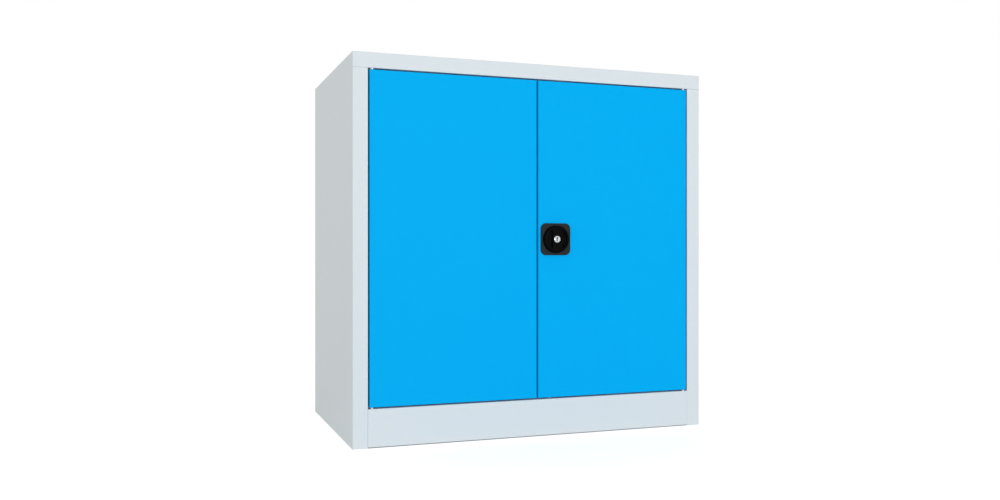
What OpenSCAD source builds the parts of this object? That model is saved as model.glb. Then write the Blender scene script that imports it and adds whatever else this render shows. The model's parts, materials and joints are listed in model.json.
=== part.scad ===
/* [Cabinet] */
// Overall width of the cabinet
cab_w = 1000; // [800:10:1300]
// Depth of the carcass, without the lock knob
cab_d = 600; // [450:10:800]
// Overall height
cab_h = 1000; // [800:10:1400]
// Height of the plinth below the doors
plinth_h = 99; // [70:1:150]
// Gap between the plinth board and the ground
plinth_lift = 2; // [0.5:0.5:5]
// Width of the folded stile beside each door
stile_w = 39; // [32:1:60]
// Height of the fascia over the doors
fascia_h = 39.5; // [34:0.5:80]
// Height of the stops behind the doors' top and bottom edges
stop_h = 15; // [14:1:25]

/* [Sheet steel] */
// Thickness of the carcass, door and shelf sheet
sheet = 1; // [0.8:0.1:1.2]
// Inside radius of every fold
bend_r = 0.7; // [0.6:0.1:1]
// Width of the flanges that join one sheet to the next
flange_w = 21; // [15:1:30]
// Visible seam where the stile's top meets the fascia
seam = 0.2; // [0.2:0.1:1]

/* [Doors] */
// Gap round each door
door_gap = 4; // [2.5:0.5:4]
// Depth of the door tray
door_t = 22; // [21:1:26]
// Width of the lip turned in along the tray's rear edge
door_lip = 18; // [12:1:22]
// Thickness of the rubber door buffers
buffer_t = 4.7; // [4:0.1:6]
// Diameter of the rubber door buffers
buffer_d = 12; // [8:1:13]
// Distance of the buffers from the cabinet's middle
buffer_x = 95; // [80:5:150]

/* [Door pivots] */
// Distance of the pivot axis from the side of the door opening
pivot_in = 11; // [10:0.5:13]
// Distance of the pivot axis behind the doors' front face
pivot_back = 6; // [6:0.5:7]
// Diameter of the pivot pins
pin_d = 6; // [5:0.5:7]
// Diameter of the collar that carries the door on its pin
pin_collar_d = 10; // [9:0.5:10]
// Length of the pin inside the door
pin_reach = 14; // [10:1:20]
// Wall of the plain bush round each pin
bush_wall = 1; // [0.8:0.1:1.2]
// Length of the plain bush
bush_len = 12; // [8:1:18]

/* [Stiffeners] */
// Width of the crown of a hat-shaped stiffener
hat_crown = 40; // [30:1:60]
// Width of each foot of a stiffener
hat_foot = 15; // [10:1:25]
// Depth of the door stiffeners
door_hat_d = 19; // [12:1:19]
// Depth of the stiffeners under the floor and the shelves
floor_hat_d = 25; // [15:1:28]
// Distance of a door stiffener's ends from the door's top and bottom edges
hat_end_gap = 55; // [30:5:120]

/* [Shelves] */
// Slot in the rails that carries the lower shelf, counted from the bottom
lower_slot = 9; // [5:1:12]
// Slot in the rails that carries the upper shelf, counted from the bottom
upper_slot = 20; // [16:1:22]
// Distance between neighbouring slots
slot_pitch = 25; // [25:1:30]
// Height of a slot
slot_h = 12; // [10:1:14]
// Width of a slot
slot_w = 4; // [3.5:0.5:6]
// Height of the lowest slot over the floor
slot_start = 25; // [20:1:60]
// Width of a slotted rail
rail_w = 30; // [24:1:40]
// Depth of a slotted rail, from the side wall to its slotted face
rail_d = 20; // [15:1:26]
// Distance of the rails from the cabinet's front and back faces
rail_setback = 60; // [55:5:120]
// Thickness of the folded shelf edge
shelf_t = 30; // [28:1:40]
// Width of the lip under the shelf edge
shelf_lip = 18; // [14:1:25]
// Distance of the shelf's front edge behind the cabinet's front face
shelf_setback = 45; // [40:1:50]
// Gap between the shelf and the back
shelf_back_gap = 10; // [8:1:20]
// Play between a shelf and its clips
shelf_play = 1; // [0.5:0.5:2]
// Thickness of a shelf clip
clip_t = 1.5; // [1:0.1:2]
// Width of a shelf clip
clip_w = 20; // [14:1:24]
// Length of the clip's seat under the shelf
clip_seat = 16; // [12:1:18]

/* [Back panel] */
// Number of pressed ribs in the back
back_ribs = 3; // [1:1:5]
// Width of a pressed rib
rib_w = 24; // [16:1:40]
// Depth of a pressed rib
rib_d = 4; // [2:0.5:5]
// Distance of a rib's ends from the top and the plinth
rib_end_gap = 60; // [40:5:150]

/* [Lock] */
// Distance of the lock's axis from the right door's free edge
backset = 50; // [49:0.5:60]
// Side of the square rosette
rosette_w = 86; // [80:1:94]
// Corner radius of the rosette
rosette_r = 15; // [10:1:24]
// Thickness of the rosette
rosette_t = 3.6; // [3:0.2:5]
// Diameter of the turning knob
knob_d = 75; // [66:1:78]
// Height of the knob over the rosette
knob_h = 9.4; // [8:0.2:14]
// Rounding of the knob's rim
knob_round = 6; // [3:0.5:7]
// Width of the grip bar across the knob
grip_w = 26; // [24:1:32]
// Depth of the finger wells beside the grip bar
well_d = 7.4; // [5:0.2:7.6]
// Distance of the wells from the knob's rim
well_rim = 8; // [7:0.5:12]
// Diameter of the lock cylinder's face
cylinder_d = 17.5; // [16:0.5:20]
// Diameter of the turning key plug
plug_d = 14; // [12:0.5:14.5]
// Length of the key plug
plug_len = 8; // [6:0.5:8]
// Width of the key slot
key_w = 3; // [2:0.1:3]
// Height of the key slot
key_h = 10.4; // [8:0.2:10.8]
// Side of the square spindle
spindle_w = 8; // [7:0.5:8]

/* [Lock gear] */
// Gear module of the pinion and the racks
gear_module = 1.5; // [1.5:0.1:1.6]
// Number of teeth of the pinion, an even number
pinion_teeth = 14; // [14:2:14]
// Pressure angle of the teeth
pressure_angle = 25; // [24:1:26]
// Play between meshing teeth at the pitch line
backlash = 0.2; // [0.15:0.05:0.3]
// Thickness of the pinion and the racks
gear_t = 9; // [8:0.5:9]
// Angle that the knob turns through from open to locked
knob_turn = 90; // [80:5:90]
// Diameter of the locking rods
rod_d = 10; // [9.5:0.5:10]
// Distance from the cabinet's front face to the middle of the rods
rod_back = 11; // [11:0.5:11.5]
// Distance from the racks' pitch line to the middle of the rods
pitch_to_rod = 2.5; // [2:0.5:3]
// Width of the lock case
case_w = 48; // [46:1:50]
// Height of the lock case
case_h = 84; // [80:1:100]
// Thickness of the case and its cover
case_t = 1.5; // [1.2:0.1:1.6]
// Width of the ears that the lock is screwed on by
ear_w = 12; // [11:1:12]
// Diameter of the lock screws
screw_d = 5; // [4:0.5:5]
// Length of the latch hook from the lock's axis to its tip
hook_reach = 66; // [64:0.5:67]
// Width of the latch hook
hook_w = 16; // [14:1:20]
// Thickness of the latch hook
hook_t = 3; // [2.5:0.5:4]

/* [Clearances] */
// Gap at rest between a moving piece and its seat
seat_gap = 0.3; // [0.2:0.1:0.5]
// Radial play of a running fit
run_fit = 0.08; // [0.05:0.01:0.1]
// Gap between the hook and the plate that it slides behind
hook_gap = 0.6; // [0.4:0.1:1]

/* [Hidden] */
$fn = 48;
carcass_colour = "#D9E2E7";
door_colour = "#00AFF2";
zinc_colour = "#B9BEC2";
rosette_colour = "#2F3234";
black_colour = "#101112";
nickel_colour = "#D6D8DA";
nylon_colour = "#E6E6E0";

// Faces of the carcass
front_y = -cab_d / 2;
back_y = cab_d / 2;
side_x = cab_w / 2;
bend_out = bend_r + sheet;
wall_x = side_x - sheet;
back_in_y = back_y - 2 * sheet;

// Door opening, with the stops behind its top and bottom edges
open_x = side_x - stile_w;
open_top = cab_h - fascia_h;
stop_off = door_t + buffer_t + seat_gap;
stop_y = front_y + stop_off;
floor_z = plinth_h + stop_h;
stile_d = stop_off - sheet;
floor_lap = 13;
plinth_return = stop_off + floor_lap;
plinth_foot = 15;
fascia_lap = 8;
stiffener_inset = 8;

// Doors
door_w = (2 * open_x - 3 * door_gap) / 2;
door_h = open_top - plinth_h - 2 * door_gap;
door_x = (door_gap + door_w) / 2;
door_z = (open_top + plinth_h) / 2;
pivot_x = open_x - pivot_in;
pivot_y = front_y + pivot_back;
bush_d = pin_d + 2 * run_fit + 2 * bush_wall;
plate_w = 26;
plate_t = 3;
plate_d = 18;

// Slotted rails and shelves
rail_end_gap = 10;
rail_foot = floor_z + rail_end_gap;
rail_top = open_top - stop_h - rail_end_gap;
slot_z0 = floor_z + slot_start;
slot_count = floor((rail_top - slot_z0 - slot_h) / slot_pitch) + 1;
rail_x = wall_x - rail_d;
rail_front_y = front_y + rail_setback;
rail_rear_y = back_y - rail_setback - rail_w;
clip_x = rail_x - clip_t;
clip_base = 8;
clip_rise = 14;
clip_catch = 4;
clip_play = 0.3;
shelf_w = 2 * (clip_x - shelf_play);
shelf_front = front_y + shelf_setback;
shelf_rear = back_in_y - rib_d - shelf_back_gap;
shelf_d = shelf_rear - shelf_front;
shelf_y = (shelf_rear + shelf_front) / 2;
seat_drop = clip_base - clip_t;
lower_shelf_z = slot_z0 + lower_slot * slot_pitch - seat_drop + shelf_t;
upper_shelf_z = slot_z0 + upper_slot * slot_pitch - seat_drop + shelf_t;

// Lock, seen from the front with its axis at the origin
lock_x = door_gap / 2 + backset;
lock_z = door_z;
knob_r = knob_d / 2;
knob_base = rosette_t + seat_gap;
knob_top = knob_base + knob_h;
hub_r = 11;
hub_end = 0.7;
spindle_front = 3;
face_proud = 0.5;
plug_sink = 0.1;
key_floor = 1.5;
rosette_edge = 0.8;

// Gear geometry
dedendum = 1.25;
pitch_r = gear_module * pinion_teeth / 2;
tip_r = pitch_r + gear_module;
root_r = pitch_r - dedendum * gear_module;
base_r = pitch_r * cos(pressure_angle);
rack_tip = pitch_r - gear_module;
rack_root = pitch_r + dedendum * gear_module;
tooth_pitch = PI * gear_module;
rod_travel = pitch_r * knob_turn * PI / 180;
rod_offset = pitch_r + pitch_to_rod;
mesh_reach = 10;
rack_flat = 0.5;
rack_end = 3;
rack_short = mesh_reach + tooth_pitch;
rack_long = rack_short + rod_travel;
gear_rear = rod_back + gear_t / 2;
flank_steps = 5;

// Lock case, cover and fasteners
case_front = sheet + case_t;
case_rear = 19;
cover_rear = case_rear + case_t;
journal_wall = 1.3;
journal_r = spindle_w / sqrt(2) + journal_wall;
gear_hub_r = journal_r + 1;
hook_wall = 5;
boss_d = 8;
boss_gap = 0.5;
boss_x = case_w / 2 - case_t - boss_d / 2 - boss_gap;
boss_y = case_h / 2 - case_t - boss_d / 2 - boss_gap;
cover_screw_d = 3;
cover_screw_len = 9;
cover_head_t = 1.8;
rod_window = 1;
ear_h = 60;
screw_x = (case_w + ear_w) / 2;
screw_y = 20;
screw_head_d = 8.5;
screw_head_t = 3.5;
screw_bite = 2;
head_dome = 0.62;
socket_width = 0.65;
socket_depth = 0.55;
strike_t = 2;
strike_w = 14;
strike_h = 70;
strike_edge = 1.5;
hook_front = door_t + strike_t + hook_gap;
hook_rear = hook_front + hook_t;
nut_thread = 6;
nut_across = 10;
nut_t = 5;
thread_end = 1;

// Rod ends and guides
tip_chamfer = 1.5;
tip_gap = 0.5;
lower_tip = plinth_h + tip_gap;
upper_tip = open_top - door_gap - 2 * tip_gap;
guide_wall = 2;
guide_d = rod_d + 2 * guide_wall;
guide_collar_d = guide_d + 2 * guide_wall;
guide_collar_t = 1.5;
guide_len = 9;
guide_bore = 5;
rod_hole_gap = 1.5;
rod_hole_d = rod_d + 2 * rod_hole_gap;
slip = 0.05;

// Chamfer of small parts, and how far a cutter runs past a face
edge = 1;
cut = 1;

// Rolled length of an involute from a circle of radius 1 out to radius k, in radians
function roll(k) = sqrt(max(k * k - 1, 0));

// Angle that an involute turns through along a rolled length, in degrees
function turned(a) = a * 180 / PI - atan(a);

// Point at a radius and an angle
function polar(r, a) = [r * cos(a), r * sin(a)];

// Direction between two points, and the same turned a quarter to the left
function unit(a, b) = (b - a) / norm(b - a);
function left(v) = [-v[1], v[0]];

// A flat of a folded strip, of sheet thickness t on the left of the way from a to b
module strip_flat(a, b, t) {
    n = left(unit(a, b)) * t;
    if (norm(b - a) > 0.001)
        polygon([a, b, b + n, a + n]);
}

// A fold at the corner b between the flats that come from a and go on to c
module strip_fold(a, b, c, t) {
    u = unit(a, b);
    v = unit(b, c);
    turn = sign(u[0] * v[1] - u[1] * v[0]);
    face_r = turn > 0 ? bend_r + t : bend_r;
    centre = b - u * face_r + left(u) * turn * face_r;
    reach = 2 * (bend_r + t);
    p = -left(u) * turn * reach;
    q = -left(v) * turn * reach;
    translate(centre)
        intersection() {
            difference() {
                circle(bend_r + t);
                circle(bend_r);
            }
            polygon([[0, 0], p, p + q, q]);
        }
}

// Profile of a sheet folded at right angles along an open path, with the sheet on the path's left
module strip(path, t = sheet) {
    last = len(path) - 1;
    turns = [for (i = [1 : last - 1])
        let (u = path[i] - path[i - 1], v = path[i + 1] - path[i])
        sign(u[0] * v[1] - u[1] * v[0])];
    trims = [for (i = [0 : last])
        i == 0 || i == last ? 0 : turns[i - 1] > 0 ? bend_r + t : bend_r];
    for (i = [0 : last - 1]) {
        u = unit(path[i], path[i + 1]);
        strip_flat(path[i] + u * trims[i], path[i + 1] - u * trims[i + 1], t);
    }
    for (i = [1 : last - 1])
        strip_fold(path[i - 1], path[i], path[i + 1], t);
}

// Extrusions along X from a profile in the Y-Z plane, and along Y from one in the X-Z plane
module along_x(x0, x1) {
    translate([x0, 0, 0])
        rotate([90, 0, 90])
            linear_extrude(x1 - x0)
                children();
}
module along_y(y0, y1) {
    translate([0, y1, 0])
        rotate([90, 0, 0])
            linear_extrude(y1 - y0)
                children();
}

// Rectangle with rounded corners, centred
module rounded_rect(w, h, r) {
    square([w - 2 * r, h], center = true);
    square([w, h - 2 * r], center = true);
    for (sx = [-1, 1], sy = [-1, 1])
        translate([sx * (w / 2 - r), sy * (h / 2 - r)])
            circle(r);
}

// Block whose top and bottom edges are rounded as by folding, with its top face at z = 0
module folded_block(w, d, h, r) {
    intersection() {
        along_y(-d / 2, d / 2)
            translate([0, -h / 2])
                rounded_rect(w, h, r);
        along_x(-w / 2, w / 2)
            translate([0, -h / 2])
                rounded_rect(d, h, r);
    }
}

// Tray folded from one sheet, face up at z = 0, with lips turned in along its lower edges
module tray(w, d, h, lip) {
    difference() {
        folded_block(w, d, h, bend_out);
        translate([0, 0, -sheet])
            folded_block(w - 2 * sheet, d - 2 * sheet, h - 2 * sheet, bend_r);
        translate([-w / 2 + lip, -d / 2 + lip, -h - cut])
            cube([w - 2 * lip, d - 2 * lip, h / 2 + cut]);
    }
}

// Tray without lips
module open_tray(w, d, h) {
    difference() {
        tray(w, d, h + bend_out, bend_out);
        translate([-w, -d, -h - 2 * bend_out])
            cube([2 * w, 2 * d, 2 * bend_out]);
    }
}

// Hat-shaped stiffener profile of a given depth, standing on y = 0
module hat(depth) {
    c = hat_crown / 2;
    e = c + hat_foot;
    top = depth - sheet;
    strip([[-e, 0], [-c, 0], [-c, top], [c, top], [c, 0], [e, 0]]);
}

// Left-hand side panel: stile, wall and rear flange in one sheet, with a foot flange
module side_sheet() {
    linear_extrude(open_top - seam)
        strip([
            [-side_x, front_y + bend_out], [-side_x, front_y], [-open_x, front_y],
            [-open_x, front_y + stile_d], [-open_x - door_lip, front_y + stile_d]
        ]);
    linear_extrude(cab_h)
        strip([[-side_x + flange_w, back_y], [-side_x, back_y], [-side_x, front_y + bend_out]]);
    translate([-wall_x, front_y + stile_d, 0])
        cube([flange_w, back_in_y - front_y - stile_d, sheet]);
}
module side_panel_left() {
    color(carcass_colour) side_sheet();
}
module side_panel_right() {
    color(carcass_colour) mirror([1, 0, 0]) side_sheet();
}

// Roof in one sheet: cover with side flanges, fascia with its return and door stop, rear flange
module top_panel() {
    under = cab_h - flange_w;
    notch_x = side_x - flange_w - slip;
    return_y = stop_y - fascia_lap;
    color(carcass_colour)
        difference() {
            union() {
                along_y(front_y + bend_out, back_y - bend_out)
                    strip([[wall_x, under], [wall_x, cab_h], [-wall_x, cab_h], [-wall_x, under]]);
                along_x(-wall_x, wall_x)
                    strip([
                        [front_y + bend_out, cab_h], [front_y, cab_h], [front_y, open_top],
                        [return_y, open_top]
                    ]);
                intersection() {
                    along_x(-side_x, side_x)
                        strip([
                            [front_y + bend_out, cab_h], [front_y, cab_h], [front_y, open_top],
                            [return_y, open_top]
                        ]);
                    translate([-side_x, front_y, open_top])
                        cube([cab_w, bend_out, fascia_h]);
                }
                along_x(-open_x + slip, open_x - slip)
                    strip([[return_y, open_top], [stop_y, open_top], [stop_y, open_top - stop_h]]);
                along_x(-notch_x, notch_x)
                    strip([[back_y, under], [back_y, cab_h], [back_y - bend_out, cab_h]]);
                for (x = [bend_out - wall_x, notch_x])
                    translate([x, back_y - bend_out, cab_h - sheet])
                        cube([wall_x - bend_out - notch_x, bend_out - sheet, sheet]);
            }
            translate([lock_x + rod_offset, front_y + rod_back, open_top - cut])
                cylinder(d = rod_hole_d, h = sheet + 2 * cut);
            for (side = [-1, 1])
                translate([side * pivot_x, pivot_y, open_top - cut])
                    cylinder(d = pin_d + 2 * slip, h = sheet + 2 * cut);
        }
}

// Outline of a pressed rib, upright and with round ends
module rib_outline(w) {
    run = open_top - plinth_h - 2 * rib_end_gap - rib_w;
    square([w, run], center = true);
    for (end = [-1, 1])
        translate([0, end * run / 2])
            circle(w / 2);
}

// Back sheet between the side walls, with upright ribs pressed inwards
module back_panel() {
    half = wall_x - bend_r;
    step = 2 * half / back_ribs;
    color(carcass_colour)
        difference() {
            union() {
                translate([-half, back_in_y, plinth_lift])
                    cube([2 * half, sheet, cab_h - sheet - bend_r - plinth_lift]);
                for (i = [0 : back_ribs - 1])
                    translate([-half + (i + 0.5) * step, 0, door_z])
                        along_y(back_in_y - rib_d, back_in_y)
                            rib_outline(rib_w);
            }
            for (i = [0 : back_ribs - 1])
                translate([-half + (i + 0.5) * step, 0, door_z])
                    along_y(back_in_y - rib_d + sheet, back_y)
                        rib_outline(rib_w - 2 * sheet);
        }
}

// Plinth board between the stiles, folded back at its foot and under the doors
module plinth() {
    rear = front_y + plinth_return;
    color(carcass_colour)
        difference() {
            along_x(-open_x, open_x)
                strip([
                    [rear, plinth_h - stop_h], [rear, plinth_h], [front_y, plinth_h],
                    [front_y, plinth_lift], [front_y + plinth_foot, plinth_lift]
                ]);
            translate([lock_x - rod_offset, front_y + rod_back, plinth_h - sheet - cut])
                cylinder(d = rod_hole_d, h = sheet + 2 * cut);
            for (side = [-1, 1])
                translate([side * pivot_x, pivot_y, plinth_h - sheet - cut])
                    cylinder(d = pin_d + 2 * slip, h = sheet + 2 * cut);
        }
}

// Raised floor, whose front wall is the lower door stop
module floor_panel() {
    color(carcass_colour)
        translate([0, (stop_y + back_in_y) / 2, floor_z])
            open_tray(2 * wall_x, back_in_y - stop_y, stop_h);
}
module floor_stiffener() {
    half = wall_x - stiffener_inset;
    color(carcass_colour)
        translate([0, (plinth_return + front_y + back_in_y) / 2, floor_z - sheet])
            along_x(-half, half)
                mirror([0, 1])
                    hat(floor_hat_d);
}

// Slotted rail on the left-hand wall
module shelf_rail(y0) {
    color(carcass_colour)
        difference() {
            translate([0, 0, rail_foot])
                linear_extrude(rail_top - rail_foot)
                    strip([
                        [-wall_x, y0], [-rail_x, y0], [-rail_x, y0 + rail_w], [-wall_x, y0 + rail_w]
                    ]);
            for (i = [0 : slot_count - 1])
                translate([-rail_x - 1.5 * sheet, y0 + rail_w / 2, slot_z0 + i * slot_pitch])
                    translate([0, -slot_w / 2, -slot_h / 2])
                        cube([2 * sheet, slot_w, slot_h]);
        }
}
module shelf_rail_front_left() {
    shelf_rail(rail_front_y);
}
module shelf_rail_front_right() {
    mirror([1, 0, 0]) shelf_rail(rail_front_y);
}
module shelf_rail_rear_left() {
    shelf_rail(rail_rear_y);
}
module shelf_rail_rear_right() {
    mirror([1, 0, 0]) shelf_rail(rail_rear_y);
}

// Clip hooked into one slot of a left-hand rail, with a seat for the shelf's edge
module shelf_clip() {
    hook = slot_w - 2 * clip_play;
    tongue_h = slot_h - clip_catch;
    translate([-rail_x, -clip_w / 2, -clip_base])
        cube([clip_t, clip_w, clip_base + clip_rise]);
    translate([-rail_x, -clip_w / 2, -clip_base])
        cube([clip_t + clip_seat, clip_w, clip_t]);
    translate([-rail_x - sheet - clip_play - clip_t, -hook / 2, -slot_h / 2])
        cube([sheet + clip_play + 1.5 * clip_t, hook, tongue_h]);
    translate([-rail_x - sheet - clip_play - clip_t, -hook / 2, -slot_h / 2 - clip_catch])
        cube([clip_t, hook, tongue_h + clip_catch]);
}
module shelf_clips(slot) {
    color(zinc_colour)
        for (side = [0, 1], y = [rail_front_y, rail_rear_y])
            mirror([side, 0, 0])
                translate([0, y + rail_w / 2, slot_z0 + slot * slot_pitch])
                    shelf_clip();
}
module lower_shelf_clips() {
    shelf_clips(lower_slot);
}
module upper_shelf_clips() {
    shelf_clips(upper_slot);
}

// Shelf tray and the stiffener under it
module shelf(z) {
    color(carcass_colour)
        translate([0, shelf_y, z])
            tray(shelf_w, shelf_d, shelf_t, shelf_lip);
}
module shelf_stiffener(z) {
    half = shelf_w / 2 - stiffener_inset;
    color(carcass_colour)
        translate([0, shelf_y, z - sheet])
            along_x(-half, half)
                mirror([0, 1])
                    hat(floor_hat_d);
}
module lower_shelf() {
    shelf(lower_shelf_z);
}
module lower_shelf_stiffener() {
    shelf_stiffener(lower_shelf_z);
}
module upper_shelf() {
    shelf(upper_shelf_z);
}
module upper_shelf_stiffener() {
    shelf_stiffener(upper_shelf_z);
}

// Pivot pin that stands on z = 0: a shank in the door, a collar in the gap, and a riveted stub
module pivot_pin() {
    stub = sheet + plate_t;
    collar = door_gap - seat_gap;
    translate([0, 0, -stub])
        cylinder(d = pin_d, h = stub + door_gap + pin_reach - edge);
    translate([0, 0, door_gap + pin_reach - edge])
        cylinder(d1 = pin_d, d2 = pin_d - 2 * edge, h = edge);
    cylinder(d = pin_collar_d, h = collar);
}
module lower_pivot_pins() {
    color(zinc_colour)
        for (side = [-1, 1])
            translate([side * pivot_x, pivot_y, plinth_h])
                pivot_pin();
}
module upper_pivot_pins() {
    color(zinc_colour)
        for (side = [-1, 1])
            translate([side * pivot_x, pivot_y, open_top])
                mirror([0, 0, 1])
                    pivot_pin();
}

// Backing plates that stiffen the plinth and the roof where the pins are riveted in
module pivot_plates() {
    color(zinc_colour)
        for (side = [0, 1], z = [plinth_h - sheet - plate_t, open_top + sheet])
            mirror([side, 0, 0])
                difference() {
                    translate([open_x - plate_w - bend_out, front_y + bend_out, z])
                        cube([plate_w, plate_d, plate_t]);
                    translate([pivot_x, pivot_y, z - cut])
                        cylinder(d = pin_d + 2 * slip, h = plate_t + 2 * cut);
                }
}

// Rubber buffers on the door stops, one near each door's free corners
module door_buffers() {
    color(black_colour)
        for (x = [-buffer_x, buffer_x], z = [plinth_h + stop_h / 2, open_top - stop_h / 2])
            translate([x, stop_y, z])
                rotate([90, 0, 0])
                    rotate_extrude()
                        polygon([
                            [0, 0], [buffer_d / 2, 0], [buffer_d / 2 - edge, buffer_t - edge],
                            [buffer_d / 2 - 2 * edge, buffer_t], [0, buffer_t]
                        ]);
}

// Places what is drawn face up on the front of the left or the right door
module at_door(side) {
    translate([side * door_x, front_y, door_z])
        rotate([90, 0, 0])
            children();
}

// Places what is drawn round the lock's axis: X to the right, Y up, Z out of the door
module at_lock() {
    translate([lock_x, front_y, lock_z])
        rotate([90, 0, 0])
            children();
}

// Door tray with the bores for its two pivot bushes
module door_sheet(side) {
    difference() {
        at_door(side)
            tray(door_w, door_h, door_t, door_lip);
        translate([side * pivot_x, pivot_y, plinth_h])
            cylinder(d = bush_d, h = open_top - plinth_h);
    }
}
module door_stiffener(side) {
    color(door_colour)
        translate([side * door_x, front_y + sheet, door_z - door_h / 2 + hat_end_gap])
            linear_extrude(door_h - 2 * hat_end_gap)
                hat(door_hat_d);
}

// Plain bushes in a door's top and bottom edges
module pivot_bushes(side) {
    color(nylon_colour)
        for (z = [plinth_h + door_gap, open_top - door_gap - bush_len])
            translate([side * pivot_x, pivot_y, z])
                difference() {
                    cylinder(d = bush_d, h = bush_len);
                    translate([0, 0, -cut])
                        cylinder(d = pin_d + 2 * run_fit, h = bush_len + 2 * cut);
                }
}
module left_door_panel() {
    color(door_colour) door_sheet(-1);
}
module left_door_stiffener() {
    door_stiffener(-1);
}
module left_pivot_bushes() {
    pivot_bushes(-1);
}

// Plate on the left door's rear lip, behind which the latch hook catches
module strike_plate() {
    color(zinc_colour)
        translate([-door_gap / 2 - strike_edge - strike_w, front_y + door_t, lock_z - strike_h / 2])
            cube([strike_w, strike_t, strike_h]);
}

// Right door, bored for the lock, its screws and the two locking rods
module right_door_panel() {
    color(door_colour)
        difference() {
            door_sheet(1);
            at_lock()
                translate([0, 0, -sheet - cut]) {
                    cylinder(r = hub_r + edge, h = sheet + 2 * cut);
                    for (x = [-screw_x, screw_x], y = [-screw_y, screw_y])
                        translate([x, y, 0])
                            cylinder(d = screw_d + 2 * slip, h = sheet + 2 * cut);
                }
            translate([lock_x - rod_offset, front_y + rod_back, plinth_h])
                cylinder(d = guide_d, h = door_gap + guide_bore);
            translate([lock_x + rod_offset, front_y + rod_back, open_top - door_gap - guide_bore])
                cylinder(d = guide_d, h = door_gap + guide_bore);
        }
}
module right_door_stiffener() {
    door_stiffener(1);
}
module right_pivot_bushes() {
    pivot_bushes(1);
}

// Square rosette with a chamfered edge, round the knob's hub
module lock_rosette() {
    color(rosette_colour)
        at_lock()
            difference() {
                union() {
                    linear_extrude(rosette_t - rosette_edge)
                        rounded_rect(rosette_w, rosette_w, rosette_r);
                    linear_extrude(rosette_t)
                        rounded_rect(rosette_w - 2 * rosette_edge, rosette_w - 2 * rosette_edge,
                            rosette_r - rosette_edge);
                }
                translate([0, 0, -cut])
                    cylinder(r = hub_r + run_fit, h = rosette_t + 2 * cut);
                for (x = [-screw_x, screw_x], y = [-screw_y, screw_y])
                    translate([x, y, -cut])
                        cylinder(d = screw_d + 2 * slip, h = cut + screw_bite + slip);
            }
}

// Case round the pinion and the racks, open to the rear, with ears that screw to the door
module lock_case() {
    inner_w = case_w - 2 * case_t;
    inner_h = case_h - 2 * case_t;
    color(zinc_colour)
        at_lock()
            difference() {
                union() {
                    difference() {
                        translate([-case_w / 2, -case_h / 2, -case_rear])
                            cube([case_w, case_h, case_rear - sheet]);
                        translate([-inner_w / 2, -inner_h / 2, -case_rear - cut])
                            cube([inner_w, inner_h, case_rear - case_front + cut]);
                    }
                    translate([-case_w / 2 - ear_w, -ear_h / 2, -case_front])
                        cube([case_w + 2 * ear_w, ear_h, case_t]);
                    for (end = [-1, 1])
                        translate([-end * boss_x, end * boss_y, -case_rear])
                            cylinder(d = boss_d, h = case_rear - case_front);
                }
                translate([0, 0, -case_front - cut])
                    cylinder(r = journal_r + run_fit, h = case_t + 2 * cut);
                for (x = [-screw_x, screw_x], y = [-screw_y, screw_y])
                    translate([x, y, -case_front - cut])
                        cylinder(d = screw_d + 2 * slip, h = case_t + 2 * cut);
                for (end = [-1, 1]) {
                    translate([-end * boss_x, end * boss_y, -case_rear - cut])
                        cylinder(d = cover_screw_d, h = cover_screw_len + cut);
                    translate([end * rod_offset, end * case_h / 2, -rod_back])
                        rotate([90, 0, 0])
                            cylinder(d = rod_d + rod_window, h = 4 * case_t, center = true);
                }
            }
}
module lock_cover() {
    color(zinc_colour)
        at_lock()
            difference() {
                translate([-case_w / 2, -case_h / 2, -cover_rear])
                    cube([case_w, case_h, case_t]);
                translate([0, 0, -cover_rear - cut])
                    cylinder(r = journal_r + run_fit, h = case_t + 2 * cut);
                for (end = [-1, 1])
                    translate([-end * boss_x, end * boss_y, -cover_rear - cut])
                        cylinder(d = cover_screw_d + 2 * slip, h = case_t + 2 * cut);
            }
}

// Screw with a domed head and a hexagonal socket, its head resting on z = 0 and its shank above
module screw(d, head_d, head_t, length) {
    dome = head_dome * head_d;
    difference() {
        union() {
            cylinder(d = d, h = length);
            translate([0, 0, -head_t])
                rotate_extrude()
                    intersection() {
                        square([head_d / 2, head_t]);
                        translate([0, dome])
                            circle(dome);
                    }
        }
        translate([0, 0, -head_t - cut])
            cylinder(d = socket_width * d, h = socket_depth * head_t + cut, $fn = 6);
    }
}
module lock_screws() {
    color(zinc_colour)
        at_lock()
            for (x = [-screw_x, screw_x], y = [-screw_y, screw_y])
                translate([x, y, -case_front])
                    screw(screw_d, screw_head_d, screw_head_t, case_front + screw_bite);
}
module cover_screws() {
    color(zinc_colour)
        at_lock()
            for (end = [-1, 1])
                translate([-end * boss_x, end * boss_y, -cover_rear])
                    screw(cover_screw_d, 2 * cover_screw_d, cover_head_t, cover_screw_len);
}

// Collared bush that guides a rod through the door's edge, standing on z = 0
module rod_guide() {
    color(nylon_colour)
        difference() {
            union() {
                cylinder(d = guide_d, h = guide_len);
                translate([0, 0, sheet])
                    cylinder(d = guide_collar_d, h = guide_collar_t);
            }
            translate([0, 0, -cut])
                cylinder(d = rod_d + 2 * run_fit, h = guide_len + 2 * cut);
        }
}
module lower_rod_guide() {
    translate([lock_x - rod_offset, front_y + rod_back, plinth_h + door_gap])
        rod_guide();
}
module upper_rod_guide() {
    translate([lock_x + rod_offset, front_y + rod_back, open_top - door_gap])
        mirror([0, 0, 1])
            rod_guide();
}

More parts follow.
